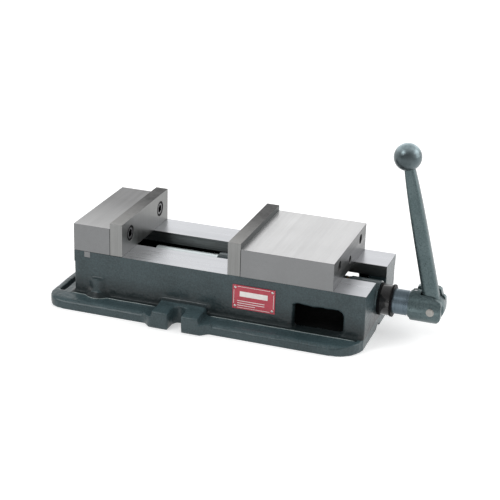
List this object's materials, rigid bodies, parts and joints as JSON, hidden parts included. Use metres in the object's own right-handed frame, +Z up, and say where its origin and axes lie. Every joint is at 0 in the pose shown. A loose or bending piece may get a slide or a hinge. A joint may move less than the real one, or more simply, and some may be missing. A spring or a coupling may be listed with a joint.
{
  "type": "machine vise",
  "caption": "Angle-lock milling machine vise: flanged cast base, ground jaws, screw-driven sliding jaw and a folding ball-ended crank handle.",
  "frame": {"origin": "on the base's bottom plane, midway between the two side lug slots", "axes": "+X from the fixed jaw towards the handle, +Y across the jaws to the far side, +Z up from the table"},
  "size_m": [0.502, 0.227, 0.2487],
  "materials": {
    "casting_paint": "hammered grey-green paint",
    "ground_steel": "surface ground",
    "plate_steel": "ground and hardened",
    "black_oxide": "black oxide",
    "turned_steel": "turned",
    "bearing_steel": "polished",
    "bronze": "oiled",
    "guard_steel": "smooth pressed sheet",
    "handle_paint": "hammered blue-grey paint",
    "plate_red": "red enamel",
    "rivet_metal": "satin",
    "black_gloss": "glossy black",
    "seal_rubber": "satin"
  },
  "bodies": {
    "base": {"base_casting": "casting_paint", "nameplate": "plate_red", "nameplate_rivets": "rivet_metal", "fixed_jaw_block": "ground_steel", "fixed_jaw_bolts": "black_oxide", "fixed_jaw_washers": "bearing_steel", "fixed_jaw_plate": "plate_steel", "fixed_plate_screws": "black_oxide", "bearing_bush": "bronze", "thrust_washer_fixed": "bearing_steel"},
    "moving_jaw": {"movable_jaw_block": "ground_steel", "movable_jaw_plate": "plate_steel", "movable_plate_screws": "black_oxide", "jaw_nut": "casting_paint", "lock_segment": "bearing_steel", "jaw_set_screw": "black_oxide", "screw_guard": "guard_steel", "guard_screws": "black_oxide"},
    "screw": {"lead_screw": "turned_steel", "thrust_cage": "bronze", "thrust_rollers": "bearing_steel", "thrust_washer_turning": "bearing_steel", "collar_ring_inner": "seal_rubber", "thrust_collar": "black_gloss", "collar_set_screw": "black_oxide", "collar_ring_outer": "seal_rubber", "spacer_sleeve": "turned_steel", "handle_hub": "handle_paint", "hub_drive_pin": "bearing_steel", "handle_pivot_pin": "turned_steel"},
    "handle": {"handle_lever": "handle_paint"}
  },
  "joints": [
    {"name": "jaw_slide", "type": "slide", "parent": "base", "child": "moving_jaw", "axis": [1, 0, 0], "range_m": [-0.1425, 0.008]},
    {"name": "screw_turn", "type": "hinge", "parent": "base", "child": "screw", "pos_m": [0.245, 0, 0.0405], "axis": [1, 0, 0], "range_deg": [-10110, 580]},
    {"name": "handle_fold", "type": "hinge", "parent": "screw", "child": "handle", "pos_m": [0.304, 0, 0.041], "axis": [0, 1, 0], "range_deg": [0, 103.7]}
  ],
  "couplings": [
    {"joint": "screw_turn", "follows": "jaw_slide", "rad_per_m": 1236.8}
  ]
}
